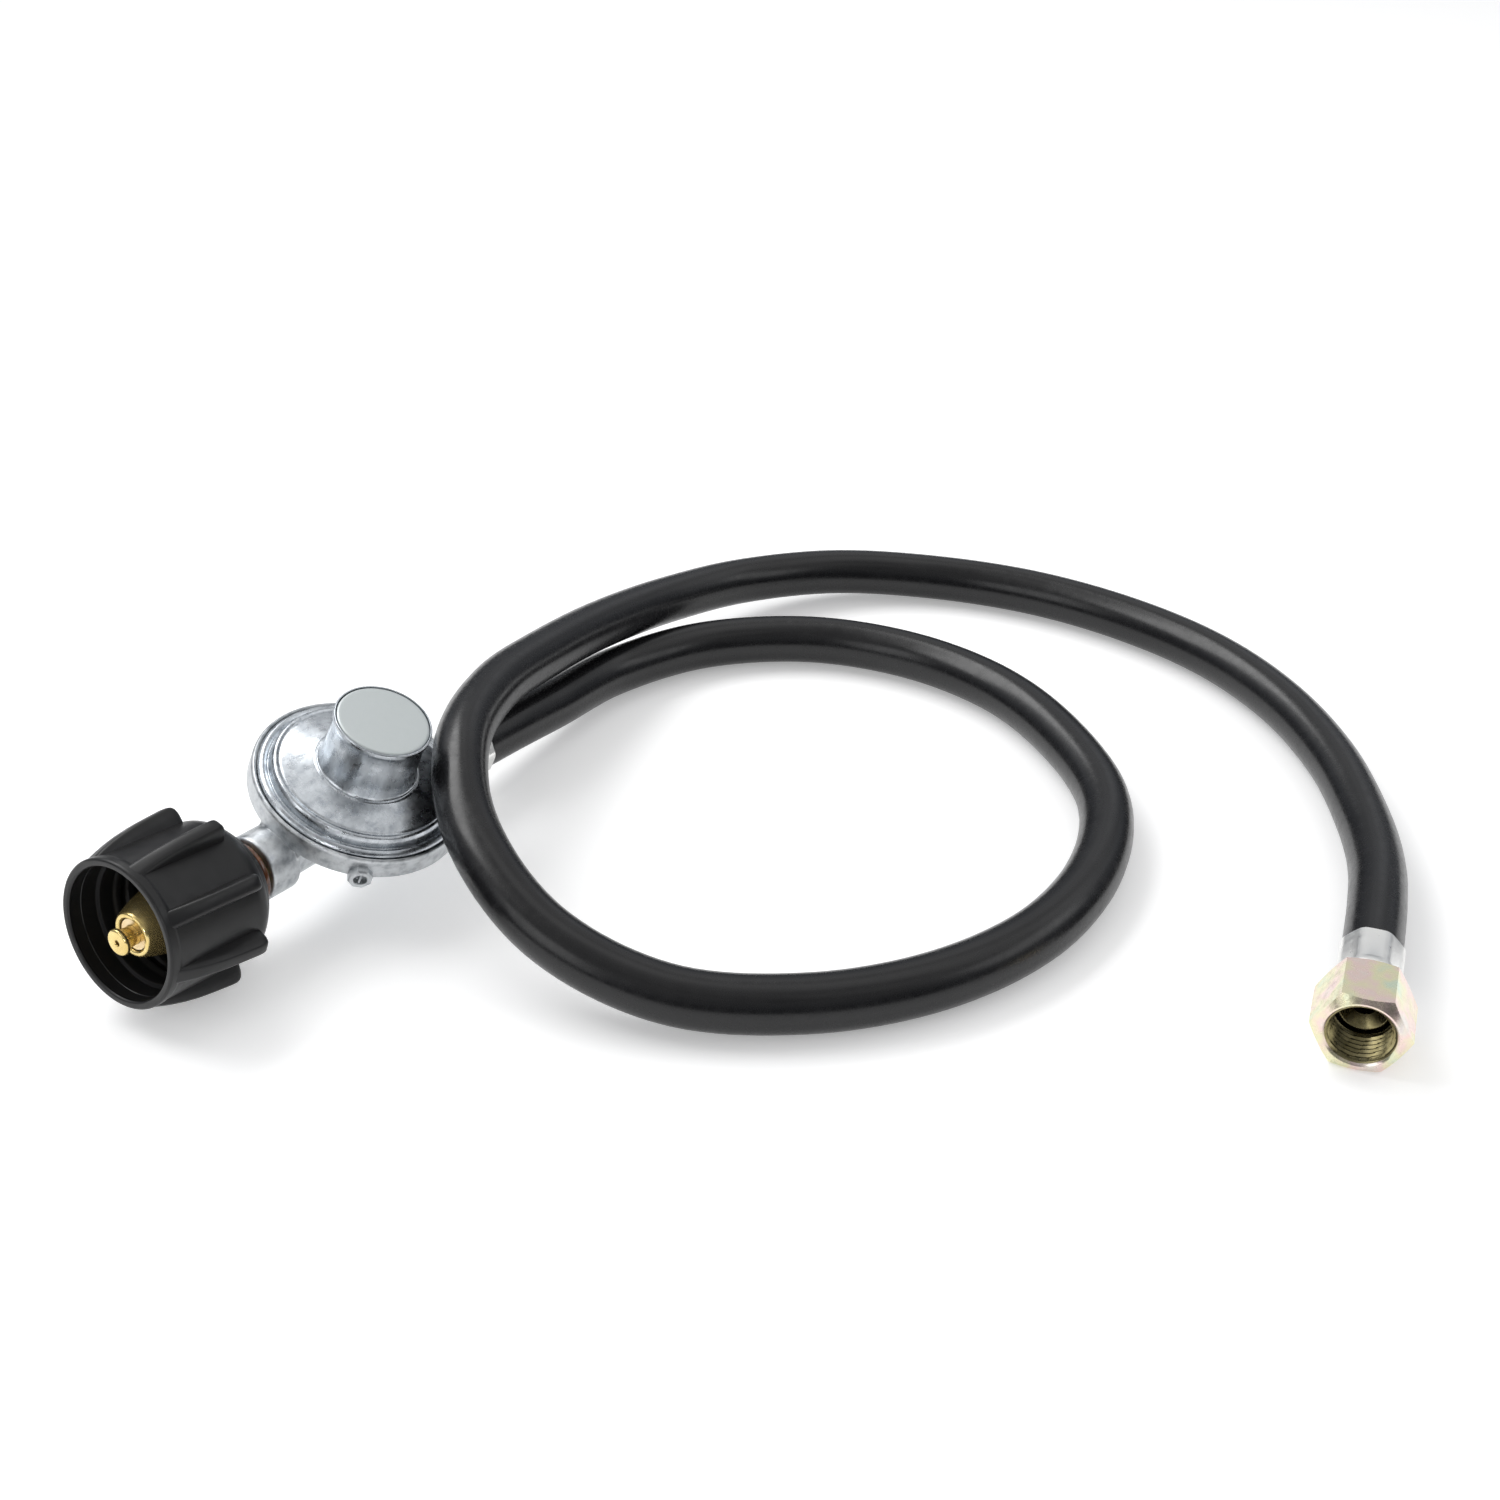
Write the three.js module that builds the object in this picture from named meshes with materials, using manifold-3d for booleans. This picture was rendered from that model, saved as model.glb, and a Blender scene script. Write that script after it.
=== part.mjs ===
// Propane regulator with its bottle coupling, rubber hose and flare swivel.
// Millimetres, +Z up. The origin is on the surface that the object lies on, below the middle
// of the regulator and its bottle coupling. +X runs from the bottle side to the hose side.
import * as THREE from 'three';
import * as BufferGeometryUtils from 'three/addons/utils/BufferGeometryUtils.js';
import Module from 'manifold-3d';

const wasm = await Module();
wasm.setup();

// ---------- driving dimensions ----------
const GAP = 0.3; // between neighbours that touch or screw together

// How the object lies: the axis falls towards the hose and the tower leans over.
const AXIS_FALL_DEG = 4.1;
const TOWER_LEAN_DEG = 23.9;
const NUT_DROOP_DEG = 4.4; // the loose coupling nut tips on its nipple
const NUT_REST_X = -67.15; // where the middle of the nut's front face stands
const NUT_REST_Z = 28.3;
const REST_Y = 4.66;
const NUT_PIVOT = 32; // from the nut's front face to where its axis crosses the nipple's

// Regulator, in its own frame: x along the gas path, z up the tower.
const NUT_FRONT = -83.3; // the coupling's front plane
const COLLAR_FRONT = -38.2;
const COLLAR_BACK = -28.3;
const COLLAR_R = 9.6;
const BAND_R = 30.9; // rolled rim that clamps the bonnet
const BAND_LOW = 7.8;
const BAND_TOP = 15.0;
const TOWER_TOP = 38.4;
const TOWER_R = 13.78;
const OUTLET_FACE = 36;
const OUTLET_FERRULE_END = 54;
const PIN_X = 8; // lever pivot
const PIN_Z = 4.6;

// Bottle coupling nut, along its own axis from the front face.
const NUT_R = 20.6;
const NUT_MOUTH_R = 18.4;
const NUT_RIB_COUNT = 8;
const NUT_RIB_FIRST_DEG = 16;
const NUT_RIB_WIDTH = 4.6;
const NUT_THREAD_PITCH = 4.23;
const NUT_HOLE_R = 8.8;

// Hose and its far fitting.
const HOSE_D = 16;
const FITTING_MOUTH = [90, -266, 11.2];
const FITTING_HEADING_DEG = -166;
// Middle of the hose from the outlet ferrule to the far fitting, as it lies: out along the
// surface, round a loop, up over the edge of the regulator and over itself, then round again.
const HOSE_ROUTE = [
  [70.0, 4.7, 16.1], [88.0, 4.7, 14.6], [107.0, 5.0, 12.4], [142.0, 5.2, 9.2],
  [175.0, -8.0, 8.3], [199.0, -36.0, 8.1], [208.0, -71.0, 8.1], [203.0, -107.0, 8.1],
  [185.0, -139.0, 8.1], [159.0, -165.0, 8.1], [125.5, -178.0, 8.1], [89.0, -178.5, 8.1],
  [55.0, -165.5, 8.1], [27.5, -141.5, 8.2], [9.0, -110.5, 10.3], [4.0, -75.5, 19.0],
  [16.0, -42.0, 31.0], [39.5, -18.5, 38.0], [72.0, -2.5, 36.8], [108.0, 5.5, 31.6],
  [144.0, 10.0, 25.4], [180.0, 9.5, 19.2], [215.0, 2.0, 14.0], [245.5, -18.0, 10.6],
  [265.5, -48.0, 8.3], [274.5, -83.5, 8.1], [274.0, -120.5, 8.1], [265.0, -156.0, 8.1],
  [246.5, -187.5, 8.1], [221.0, -213.5, 8.1], [191.5, -233.5, 8.3], [169.0, -244.5, 9.3],
  [150.0, -250.7, 10.5], [125.4, -257.2, 11.2],
];
const HOSE_STEPS = 64;
const FLARE_NUT_AF = 22.2;
const FLARE_NUT_LENGTH = 18.5;
const FLARE_THREAD_R = 8.5;
const FLARE_THREAD_PITCH = 1.7;
const FERRULE_LENGTH = 15;
const FERRULE_AF = 17.0;

// ---------- materials ----------
function finish(name, color, roughness, metalness) {
  return new THREE.MeshStandardMaterial({ name, color, roughness, metalness });
}
const zinc = finish('zinc', 0xb9bcc0, 0.38, 0.9);
const capSteel = finish('cap_steel', 0xcfd3d4, 0.5, 0.8);
const brass = finish('brass', 0xd0a653, 0.25, 1);
const blackPlastic = finish('black_plastic', 0x1c1d1e, 0.55, 0);
const amberPlastic = finish('amber_plastic', 0x7a3a14, 0.2, 0);
const rubber = finish('rubber', 0x151617, 0.42, 0);
const steel = finish('steel', 0xa8abad, 0.35, 1);
const springSteel = finish('spring_steel', 0x8f9294, 0.3, 1);
const yellowZinc = finish('yellow_zinc', 0xcfc7a4, 0.3, 1);
const darkSeal = finish('seal_rubber', 0x2a2a2b, 0.7, 0);

// ---------- solids ----------
function solid(geometry) {
  let plain = geometry.clone();
  plain.deleteAttribute('normal');
  plain.deleteAttribute('uv');
  plain = BufferGeometryUtils.mergeVertices(plain, 1e-4);
  const vertProperties = new Float32Array(plain.attributes.position.array);
  const triVerts = new Uint32Array(plain.index.array);
  let body = new wasm.Manifold(new wasm.Mesh({ numProp: 3, vertProperties, triVerts }));
  if (body.volume() < 0) {
    for (let i = 0; i < triVerts.length; i += 3) {
      const swap = triVerts[i];
      triVerts[i] = triVerts[i + 1];
      triVerts[i + 1] = swap;
    }
    body = new wasm.Manifold(new wasm.Mesh({ numProp: 3, vertProperties, triVerts }));
  }
  return body;
}

function piece(name, body, material) {
  const mesh = body.getMesh();
  const positions = new Float32Array((mesh.vertProperties.length / mesh.numProp) * 3);
  for (let i = 0; i < positions.length / 3; i += 1) {
    for (let k = 0; k < 3; k += 1) {
      positions[3 * i + k] = mesh.vertProperties[mesh.numProp * i + k];
    }
  }
  const geometry = new THREE.BufferGeometry();
  geometry.setAttribute('position', new THREE.BufferAttribute(positions, 3));
  geometry.setIndex(Array.from(mesh.triVerts));
  geometry.computeVertexNormals();
  const made = new THREE.Mesh(geometry, material);
  made.name = name;
  return made;
}

function union(bodies) {
  return bodies.reduce((sum, body) => sum.add(body));
}

// A profile of [radius, height] points turned about Z.
function turnedZ(points, sides = 32) {
  const outline = points.map(([r, z]) => new THREE.Vector2(r, z));
  const first = outline[0];
  const last = outline[outline.length - 1];
  if (first.x > 0 || last.x > 0) {
    outline.push(first.clone());
  }
  return solid(new THREE.LatheGeometry(outline, sides).rotateX(Math.PI / 2));
}

// A profile of [radius, x] points turned about X.
function turnedX(points, sides = 24) {
  const outline = points.map(([r, x]) => new THREE.Vector2(r, x));
  const first = outline[0];
  const last = outline[outline.length - 1];
  if (first.x > 0 || last.x > 0) {
    outline.push(first.clone());
  }
  return solid(new THREE.LatheGeometry(outline, sides).rotateZ(-Math.PI / 2));
}

function rod(radius, from, to, sides = 20) {
  return turnedX([[0, from], [radius, from], [radius, to], [0, to]], sides);
}

function sleeve(inner, outer, from, to, sides = 20) {
  return turnedX([[inner, from], [outer, from], [outer, to], [inner, to]], sides);
}

function block(x, y, z) {
  const geometry = new THREE.BoxGeometry(x[1] - x[0], y[1] - y[0], z[1] - z[0]);
  geometry.translate((x[0] + x[1]) / 2, (y[0] + y[1]) / 2, (z[0] + z[1]) / 2);
  return solid(geometry);
}

// A coil spring standing along Z.
class Helix extends THREE.Curve {
  constructor(radius, low, high, turns) {
    super();
    this.radius = radius;
    this.low = low;
    this.high = high;
    this.turns = turns;
  }
  getPoint(t) {
    const angle = t * this.turns * 2 * Math.PI;
    const z = this.low + t * (this.high - this.low);
    return new THREE.Vector3(this.radius * Math.cos(angle), this.radius * Math.sin(angle), z);
  }
}

function circleShape(radius, sides) {
  const points = [];
  for (let i = 0; i < sides; i += 1) {
    const angle = (2 * Math.PI * (i + 0.5)) / sides;
    points.push(new THREE.Vector2(radius * Math.cos(angle), radius * Math.sin(angle)));
  }
  return new THREE.Shape(points);
}

function spring(radius, wire, low, high, turns) {
  const extrudePath = new Helix(radius, low + wire, high - wire, turns);
  const geometry = new THREE.ExtrudeGeometry(circleShape(wire, 5), { steps: turns * 10, extrudePath });
  return solid(geometry);
}

// ---------- regulator ----------
const regulator = new THREE.Group();

function regulatorBody() {
  const bowl = turnedZ([
    [0, -6.8], [10, -6.8], [15, -4.6], [21, 2], [25.5, BAND_LOW - 0.4], [30.2, BAND_LOW],
    [BAND_R, BAND_LOW + 0.8], [BAND_R, BAND_TOP - 0.6], [30.3, BAND_TOP], [29.7, BAND_TOP],
    [29.7, 11.4], [24, 11.4], [21.5, 8], [11.5, -4.2], [0, -4.2],
  ], 32);
  const collar = turnedX([
    [0, COLLAR_FRONT], [COLLAR_R - 0.5, COLLAR_FRONT], [COLLAR_R, COLLAR_FRONT + 0.5],
    [COLLAR_R, COLLAR_BACK], [8.2, COLLAR_BACK + 0.8], [8.2, -15], [0, -15],
  ]);
  const web = block([-29, -19], [-8, 8], [0, BAND_LOW + 1]);
  const outlet = rod(8, 12.2, OUTLET_FACE, 24);
  const ventBoss = rod(3.4, 29.8, 33.2, 16)
    .rotate([0, 0, 226.7])
    .translate([0, 0, BAND_LOW + 1.2]);
  const cavity = turnedZ([
    [0, -4.2], [11.5, -4.2], [21.5, 8], [24, 11.4], [24, 16], [0, 16],
  ], 32);
  const shell = union([bowl, collar, web, outlet, ventBoss]).subtract(cavity);
  const leverPosts = block([6.2, 9.8], [-6.4, 6.4], [-5, 6.6])
    .subtract(block([5, 11], [-3.4, 3.4], [-4.2, 8]));
  const rodGuide = block([2.9, 5.2], [-3.2, 3.2], [-5, 2.4]);
  const pinHole = rod(0.8 + GAP, -8, 8, 16).rotate([0, 0, 90]).translate([PIN_X, 0, PIN_Z]);
  const cuts = [
    rod(6.0, COLLAR_FRONT - 1, -24.6),
    rod(4.5, -26, -8),
    rod(2.6, 12.2, 27),
    rod(5.0, 24, OUTLET_FACE + 1),
    rod(1.6 + GAP, 1, 7, 16),
    rod(1.5, 29.9, 35, 12).rotate([0, 0, 226.7]).translate([0, 0, BAND_LOW + 1.2]),
    pinHole,
  ];
  return union([shell, leverPosts, rodGuide]).subtract(union(cuts));
}

function bonnet() {
  return turnedZ([
    [29.3, 12.8], [29.3, 15.0], [28.9, 15.5], [26.9, 15.5], [26.4, 15.9], [26.0, 17.8],
    [25.4, 18.5], [24.6, 18.6], [24.2, 18.1], [23.8, 18.1], [23.4, 18.5], [14.6, 20.6],
    [13.7, 21.7], [13.2, 24.2], [12.9, 33.5], [13.1, 36.3], [TOWER_R, 36.8],
    [TOWER_R, 38.0], [13.5, 38.3], [13.2, 38.3], [13.2, 37.2], [11.2, 37.2], [11.2, 22.5],
    [12.5, 19.3], [22.6, 16.9], [23.9, 16.0], [24.4, 12.8],
  ], 32);
}

function towerCap() {
  return turnedZ([[0, 37.5], [12.9, 37.5], [12.9, 38.2], [12.6, TOWER_TOP], [0, TOWER_TOP]], 32);
}

function adjustingScrew() {
  const disc = turnedZ([
    [0, 30.9], [10.4, 30.9], [10.8, 31.3], [10.8, 35.1], [10.4, 35.5], [0, 35.5],
  ], 32);
  const socket = turnedZ([[0, 32.4], [4, 32.4], [4, 36], [0, 36]], 6);
  return disc.subtract(socket);
}

function diaphragm() {
  return turnedZ([
    [2.4, 11.7], [15.5, 11.7], [17, 13], [20, 13], [21.5, 11.7], [29, 11.7], [29, 12.5],
    [21.9, 12.5], [20.4, 13.8], [16.6, 13.8], [15.1, 12.5], [2.4, 12.5],
  ], 24);
}

function diaphragmPlate() {
  return turnedZ([
    [2.0, 12.8], [13.6, 12.8], [14.2, 14.1], [13.4, 14.1], [13.0, 13.6], [2.0, 13.6],
  ], 32);
}

function diaphragmStem() {
  const shaft = turnedZ([[0, 7], [1.7, 7], [1.7, 13.9], [3.2, 13.9], [3.2, 15.8], [0, 15.8]], 20);
  const foot = block([-2.2, 2.2], [-3, 3], [2.1, 8]);
  const window = block([-3, 3], [-1.9, 1.9], [3.0, 6.2]);
  return shaft.add(foot).subtract(window);
}

function valveLever() {
  const arm = block([-1.2, 8], [-1.4, 1.4], [PIN_Z - 0.8, PIN_Z + 0.8]);
  const hub = rod(2.0, -3.0, 3.0, 20).rotate([0, 0, 90]).translate([PIN_X, 0, PIN_Z]);
  const leg = block([PIN_X - 0.7, PIN_X + 0.7], [-0.6, 0.6], [-0.8, PIN_Z]);
  const hole = rod(0.8 + GAP, -4, 4, 16).rotate([0, 0, 90]).translate([PIN_X, 0, PIN_Z]);
  return union([arm, hub, leg]).subtract(hole);
}

function leverPin() {
  return rod(0.8, -6.2, 6.2, 16).rotate([0, 0, 90]).translate([PIN_X, 0, PIN_Z]);
}

function seatCarrier() {
  const shape = turnedX([
    [0, -4.3], [2.9, -4.3], [2.9, -5.2], [3.4, -5.2], [3.4, -3.3], [1.6, -3.0], [1.6, 10.4],
    [0, 10.4],
  ], 24);
  return shape.subtract(block([PIN_X - 1.5, PIN_X + 1.4], [-0.95, 0.95], [-1.15, 3]));
}

function seatDisc() {
  return rod(2.6, -5.8, -4.6, 20);
}

function inletOrifice() {
  const bodyShape = turnedX([
    [0, -22], [4.2, -22], [4.2, -11], [2.6, -9.4], [2.6, -7.6], [1.8, -7.0], [0, -7.0],
  ], 20);
  const bore = turnedX([[0, -23], [2.2, -23], [2.2, -11.5], [0.9, -10.5], [0.9, -6], [0, -6]], 16);
  return bodyShape.subtract(bore);
}

function inletNipple() {
  const outside = turnedX([
    [0, -78.7], [6.0, -78.7], [6.4, -78.3], [7.6, -75.6], [8.7, -72.0], [9.4, -68.4],
    [9.7, -65.0], [9.7, -51.0], [9.0, -50.3], [6.2, -49.6], [6.2, -38.7], [5.7, -37.9],
    [5.7, -25.6], [5.2, -25.1], [0, -25.1],
  ], 32);
  const bore = turnedX([[0, -80], [4.7, -80], [4.7, -50], [2.2, -48], [2.2, -24], [0, -24]], 20);
  return outside.subtract(bore);
}

function probeGuide() {
  return sleeve(2.8, 4.4, -78, -76, 24);
}

function probe() {
  const shape = turnedX([
    [0, NUT_FRONT], [3.1, NUT_FRONT], [3.4, NUT_FRONT + 0.3], [3.4, -82.0], [2.9, -81.5],
    [2.5, -81.2], [2.5, -75.7], [4.3, -75.7], [4.3, -74.3], [1.5, -73.9], [1.5, -62], [0, -62],
  ], 20);
  return shape.subtract(rod(0.8, NUT_FRONT - 1, NUT_FRONT + 3, 12));
}

function probeSpring() {
  return spring(3.3, 0.45, 0, 23.2, 6).rotate([0, 90, 0]).translate([-74, 0, 0]);
}

function outletStem() {
  const outside = turnedX([
    [0, 24.4], [4.7, 24.4], [4.7, 37], [4.3, 38], [4.7, 43], [4.3, 43.5], [4.7, 48],
    [4.3, 48.5], [4.7, 52], [4.1, 53.5], [0, 53.5],
  ], 20);
  return outside.subtract(rod(3.2, 20, 60, 24));
}

// A crimped sleeve with eight flats, from x = 0 to x = length.
function crimpedFerrule(length, inner) {
  const corner = FERRULE_AF / 2 / Math.cos(Math.PI / 8);
  const flats = turnedX([
    [0, 0.4], [corner, 0.4], [corner, length - 0.4], [0, length - 0.4],
  ], 8);
  const collarFront = rod(FERRULE_AF / 2 - 0.1, 0, length, 16);
  return union([flats, collarFront]).subtract(rod(inner, -1, length + 1, 16));
}

function outletFerrule() {
  const length = OUTLET_FERRULE_END - OUTLET_FACE - GAP;
  return crimpedFerrule(length, 5.0).translate([OUTLET_FACE + GAP, 0, 0]);
}

regulator.add(piece('regulator_body', regulatorBody(), zinc));
regulator.add(piece('bonnet', bonnet(), zinc));
regulator.add(piece('tower_cap', towerCap(), capSteel));
regulator.add(piece('adjusting_screw', adjustingScrew(), steel));
regulator.add(piece('adjusting_spring', spring(8, 0.9, 14.5, 30.5, 5), springSteel));
regulator.add(piece('diaphragm', diaphragm(), darkSeal));
regulator.add(piece('diaphragm_plate', diaphragmPlate(), steel));
regulator.add(piece('diaphragm_stem', diaphragmStem(), brass));
regulator.add(piece('valve_lever', valveLever(), steel));
regulator.add(piece('lever_pin', leverPin(), steel));
regulator.add(piece('seat_carrier', seatCarrier(), brass));
regulator.add(piece('seat_disc', seatDisc(), darkSeal));
regulator.add(piece('inlet_orifice', inletOrifice(), brass));
regulator.add(piece('inlet_nipple', inletNipple(), brass));
regulator.add(piece('probe_guide', probeGuide(), brass));
regulator.add(piece('probe', probe(), brass));
regulator.add(piece('probe_spring', probeSpring(), springSteel));
regulator.add(piece('outlet_stem', outletStem(), brass));
regulator.add(piece('outlet_ferrule', outletFerrule(), steel));

// ---------- bottle coupling nut ----------
const coupling = new THREE.Group();

function nutShell() {
  const outline = [
    [NUT_MOUTH_R, 0], [20.2, 0], [NUT_R, 0.5], [NUT_R, 2.4], [20.3, 3.2], [20.0, 31.5],
    [19.2, 33.6], [15.5, 37.6], [11.0, 41.0], [9.8, 41.8], [NUT_HOLE_R, 41.8],
    [NUT_HOLE_R, 34.6], [15.4, 34.6], [16.4, 33.4],
  ];
  for (let turn = 2; turn >= 0; turn -= 1) {
    const start = 13 + turn * NUT_THREAD_PITCH;
    outline.push([17.3, start + 3.2], [16.3, start + 2.2], [17.3, start + 1.2]);
  }
  outline.push([17.3, 9.2], [NUT_MOUTH_R, 8.4]);
  return turnedX(outline, 32);
}

function nutRib() {
  const side = new THREE.Shape();
  side.moveTo(0.8, 19.4);
  side.lineTo(0.8, 20.9);
  side.quadraticCurveTo(9, 23.6, 17, 24.5);
  side.lineTo(26, 25.2);
  side.quadraticCurveTo(29.6, 25.1, 29.6, 21.4);
  side.lineTo(29.6, 19.4);
  const geometry = new THREE.ExtrudeGeometry(side, {
    depth: NUT_RIB_WIDTH - 1.6,
    bevelEnabled: true,
    bevelSize: 0.8,
    bevelOffset: -0.8,
    bevelThickness: 0.8,
    bevelSegments: 1,
    curveSegments: 3,
  });
  geometry.translate(0, 0, -(NUT_RIB_WIDTH - 1.6) / 2);
  return solid(geometry.rotateX(Math.PI / 2));
}

function couplingNut() {
  const bodies = [nutShell()];
  for (let i = 0; i < NUT_RIB_COUNT; i += 1) {
    const angle = NUT_RIB_FIRST_DEG + (i * 360) / NUT_RIB_COUNT;
    bodies.push(nutRib().rotate([angle, 0, 0]));
  }
  return union(bodies);
}

function thermalBushing() {
  return turnedX([
    [7.5, 36], [8.5, 36], [8.5, 42.1], [9.3, 42.1], [9.7, 42.5], [9.7, 43.5], [9.3, 43.9],
    [7.5, 43.9],
  ], 32);
}

coupling.add(piece('coupling_nut', couplingNut(), blackPlastic));
coupling.add(piece('thermal_bushing', thermalBushing(), amberPlastic));

// ---------- far fitting, along +X of its own frame to the mouth at x = 0 ----------
const fitting = new THREE.Group();

function flareNut() {
  const corner = FLARE_NUT_AF / 2 / Math.cos(Math.PI / 6);
  const back = -FLARE_NUT_LENGTH;
  const hex = turnedX([[0, back], [corner, back], [corner, 0], [0, 0]], 6).rotate([30, 0, 0]);
  const chamfers = turnedX([
    [0, back], [10.4, back], [corner + 0.1, back + 2.4], [corner + 0.1, -2.4], [10.4, 0], [0, 0],
  ], 36);
  const bore = [[0, 1], [9.3, 1], [9.3, 0], [FLARE_THREAD_R, -0.7]];
  for (let turn = 0; turn < 5; turn += 1) {
    const start = -0.9 - turn * FLARE_THREAD_PITCH;
    bore.push([FLARE_THREAD_R - 0.75, start], [FLARE_THREAD_R, start - FLARE_THREAD_PITCH / 2]);
  }
  bore.push([7.6, -11.2], [7.6, -14.2], [5.8, -16.0], [5.8, back - 1], [0, back - 1]);
  return hex.intersect(chamfers).subtract(turnedX(bore.reverse(), 20));
}

function flareStem() {
  const ferruleEnd = -FLARE_NUT_LENGTH - GAP - 2;
  const outside = turnedX([
    [0, ferruleEnd - 14], [4.0, ferruleEnd - 14], [4.7, ferruleEnd - 11], [4.3, ferruleEnd - 10.5],
    [4.7, ferruleEnd - 6], [4.3, ferruleEnd - 5.5], [4.7, ferruleEnd], [7.4, ferruleEnd],
    [7.4, ferruleEnd + 1.7], [5.4, ferruleEnd + 1.7], [5.4, -16.0], [7.0, -14.1], [7.0, -12.0],
    [6.4, -11.4], [0, -11.4],
  ], 20);
  const bore = turnedX([[0, -60], [3.3, -60], [3.3, -13.6], [6.4, -10.5], [6.4, -10], [0, -10]], 24);
  return outside.subtract(bore);
}

function hoseEndFerrule() {
  const end = -FLARE_NUT_LENGTH - 2 * GAP - 2;
  return crimpedFerrule(FERRULE_LENGTH, 5.0).translate([end - FERRULE_LENGTH, 0, 0]);
}

fitting.add(piece('flare_nut', flareNut(), yellowZinc));
fitting.add(piece('flare_stem', flareStem(), brass));
fitting.add(piece('hose_end_ferrule', hoseEndFerrule(), steel));

// ---------- hose ----------
function hose() {
  const points = HOSE_ROUTE.map(([x, y, z]) => new THREE.Vector3(x, y, z));
  const extrudePath = new THREE.CatmullRomCurve3(points);
  extrudePath.arcLengthDivisions = 2000;
  const section = circleShape(HOSE_D / 2, 10);
  return solid(new THREE.ExtrudeGeometry(section, { steps: HOSE_STEPS, extrudePath }));
}

// ---------- placing ----------
const radians = THREE.MathUtils.degToRad;
const nutFall = radians(AXIS_FALL_DEG + NUT_DROOP_DEG);
const axisFall = radians(AXIS_FALL_DEG);
coupling.position.set(NUT_REST_X, REST_Y, NUT_REST_Z);
coupling.rotation.y = nutFall;

const pivotX = NUT_REST_X + NUT_PIVOT * Math.cos(nutFall);
const pivotZ = NUT_REST_Z - NUT_PIVOT * Math.sin(nutFall);
const pivotToTower = -(NUT_FRONT + NUT_PIVOT);
regulator.position.set(
  pivotX + pivotToTower * Math.cos(axisFall),
  REST_Y,
  pivotZ - pivotToTower * Math.sin(axisFall),
);
regulator.rotation.set(radians(TOWER_LEAN_DEG), axisFall, 0, 'YXZ');

fitting.position.fromArray(FITTING_MOUTH);
fitting.rotation.z = radians(FITTING_HEADING_DEG);

const part = new THREE.Group();
part.add(regulator, coupling, fitting, piece('hose', hose(), rubber));

export default part;
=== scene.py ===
import bpy
import bmesh
import math
from mathutils import Matrix, Vector


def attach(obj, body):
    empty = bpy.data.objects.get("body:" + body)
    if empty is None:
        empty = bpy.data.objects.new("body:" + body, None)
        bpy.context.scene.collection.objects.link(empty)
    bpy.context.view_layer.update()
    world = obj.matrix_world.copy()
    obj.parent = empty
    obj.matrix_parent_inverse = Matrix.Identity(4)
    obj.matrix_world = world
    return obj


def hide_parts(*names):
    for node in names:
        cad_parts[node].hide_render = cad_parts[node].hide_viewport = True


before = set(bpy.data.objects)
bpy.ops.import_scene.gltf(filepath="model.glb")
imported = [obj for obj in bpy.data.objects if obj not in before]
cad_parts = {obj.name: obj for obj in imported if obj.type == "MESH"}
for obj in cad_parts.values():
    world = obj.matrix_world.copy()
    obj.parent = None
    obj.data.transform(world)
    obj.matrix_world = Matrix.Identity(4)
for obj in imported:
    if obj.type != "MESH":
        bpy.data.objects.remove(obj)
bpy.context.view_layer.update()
MM = 0.001
TURN = 2 * math.pi
EIGHTH = math.pi / 4
rad = math.radians

# ---------- camera ----------
PITCH = rad(31.0)
CAMERA_AT = Vector((-0.3071, -0.3477, 0.3203))
cam_data = bpy.data.cameras.new("camera")
cam = bpy.data.objects.new("camera", cam_data)
bpy.context.collection.objects.link(cam)
cam_data.sensor_width = 36.0
cam_data.lens = 46.4
cam_data.clip_start = 0.01
cam_data.clip_end = 50.0
right = Vector((0.5541, -0.8325, 0.0)).normalized()
ahead = Vector((0.8325, 0.5541, 0.0)).normalized()
look = ahead * math.cos(PITCH) - Vector((0, 0, math.sin(PITCH)))
up = ahead * math.sin(PITCH) + Vector((0, 0, math.cos(PITCH)))
cam.matrix_world = Matrix((
    (right.x, up.x, -look.x, CAMERA_AT.x),
    (right.y, up.y, -look.y, CAMERA_AT.y),
    (right.z, up.z, -look.z, CAMERA_AT.z),
    (0, 0, 0, 1)))
bpy.context.scene.camera = cam

# ---------- places of the three rigid groups ----------
# The regulator and the bottle nut point along X, with a small fall; the regulator also leans about X.
FALL = rad(4.1)
LEAN = rad(23.9)
NUT_FALL = rad(8.5)
PIVOT_FROM_MOUTH = 32
TOWER_FROM_PIVOT = 51.3
NUT_AT = Vector((-67.15, 4.66, 28.3)) * MM
PIVOT = NUT_AT + Vector((math.cos(NUT_FALL), 0, -math.sin(NUT_FALL))) * PIVOT_FROM_MOUTH * MM
TOWER = PIVOT + Vector((math.cos(FALL), 0, -math.sin(FALL))) * TOWER_FROM_PIVOT * MM
REG = Matrix.Translation(TOWER) @ Matrix.Rotation(FALL, 4, "Y") @ Matrix.Rotation(LEAN, 4, "X")
NUT = Matrix.Translation(NUT_AT) @ Matrix.Rotation(NUT_FALL, 4, "Y")
MOUTH = Vector((90, -266, 11.2)) * MM
FIT = Matrix.Translation(MOUTH) @ Matrix.Rotation(rad(-166), 4, "Z")


# ---------- materials: noise scales are in cycles per metre, bump heights in metres ----------
def material(name, color, rough, metal=0.0, **sockets):
    """A principled material; further sockets are named with _ for a space."""
    made = bpy.data.materials.new(name)
    made.use_nodes = True
    shader = made.node_tree.nodes["Principled BSDF"]
    shader.inputs["Base Color"].default_value = (*color, 1)
    shader.inputs["Roughness"].default_value = rough
    shader.inputs["Metallic"].default_value = metal
    for key, value in sockets.items():
        shader.inputs[key.replace("_", " ")].default_value = value
    return made


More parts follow.
